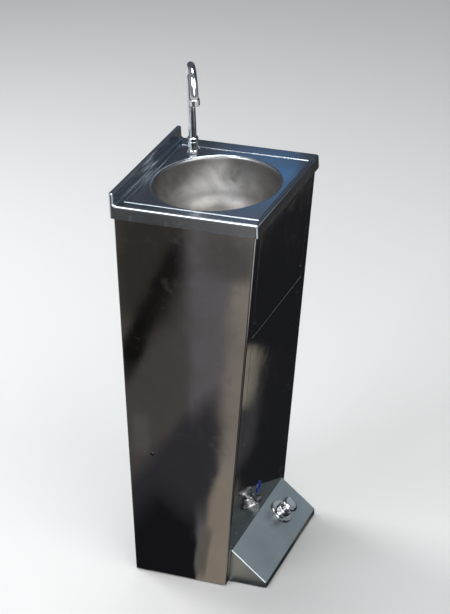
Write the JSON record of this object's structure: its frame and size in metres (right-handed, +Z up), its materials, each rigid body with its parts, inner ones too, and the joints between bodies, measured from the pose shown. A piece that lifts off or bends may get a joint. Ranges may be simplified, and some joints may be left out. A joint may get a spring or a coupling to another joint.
{
  "type": "pedestal handwash sink",
  "caption": "Slim stainless pedestal handwash sink: round bowl, swivel gooseneck spout and a foot-pushed self-closing valve on a sloping pedal housing.",
  "frame": {"origin": "on the floor, under the centre of the rectangular top, which is the widest outline", "axes": "+Z up; +Y towards the wall side with the low upstand; the user stands on the -Y side; +X is the user's right, where the spout stands"},
  "size_m": [0.35, 0.31, 1.06],
  "materials": {
    "stainless_top": "satin pressed sheet",
    "stainless_panel": "bright rolled sheet, lightly scuffed",
    "stainless_inner": "plain rolled sheet",
    "chrome": "polished plate",
    "brass": "machined",
    "steel": "bright zinc",
    "braid": "braided sleeve",
    "black_rubber": "matt",
    "white_plastic": "moulded",
    "black_plastic": "moulded",
    "blue_plastic": "glossy"
  },
  "bodies": {
    "cabinet": {"basin_top": "stainless_top", "left_side_panel": "stainless_panel", "right_side_panel": "stainless_panel", "back_panel": "stainless_inner", "back_rivets": "steel", "left_front_rail": "stainless_inner", "right_front_rail": "stainless_inner", "upper_front_panel": "stainless_panel", "lower_front_panel": "stainless_panel", "front_panel_screws": "steel", "base_plate": "stainless_inner", "base_pads": "black_rubber", "basin_brackets": "stainless_inner", "pedal_housing": "stainless_top", "foot_valve_body": "brass", "foot_valve_gasket": "black_rubber", "foot_valve_flange": "chrome", "foot_valve_bonnet": "chrome", "foot_valve_locknut": "brass", "foot_valve_spring": "steel", "supply_hose": "braid", "riser_hose": "braid", "hose_nuts": "brass", "hose_ferrules": "steel", "connection_bracket": "stainless_inner", "inlet_nipple": "brass", "inlet_nipple_nut": "brass", "drain_strainer": "chrome", "strainer_screw": "steel", "drain_gasket": "black_rubber", "waste_body": "white_plastic", "trap_body": "white_plastic", "trap_cup": "white_plastic", "trap_cup_nut": "white_plastic", "trap_inlet_nut": "white_plastic", "trap_outlet_nut": "white_plastic", "waste_pipe": "white_plastic", "clip_rail": "stainless_inner", "rail_screws": "steel", "pipe_clips": "black_plastic", "faucet_gasket": "black_rubber", "faucet_body": "chrome", "faucet_washer": "steel", "faucet_locknut": "brass", "spout_seal": "black_rubber", "spout_nut": "chrome", "water_mark": "blue_plastic"},
    "foot_button": {"foot_button": "chrome", "foot_valve_stem": "brass", "foot_valve_washer": "black_rubber"},
    "spout": {"spout": "chrome", "aerator_housing": "chrome", "aerator_insert": "black_plastic"}
  },
  "joints": [
    {"name": "foot_button_press", "type": "slide", "parent": "cabinet", "child": "foot_button", "axis": [0, 0.6629, -0.7487], "range_m": [0, 0.008], "stiffness_N_per_m": 2000, "springref_m": -0.01, "deforming": ["foot_valve_spring"]},
    {"name": "spout_swivel", "type": "hinge", "parent": "cabinet", "child": "spout", "pos_m": [0.112, 0.094, 0.88], "axis": [0, 0, 1], "range_deg": [-60, 90]}
  ]
}
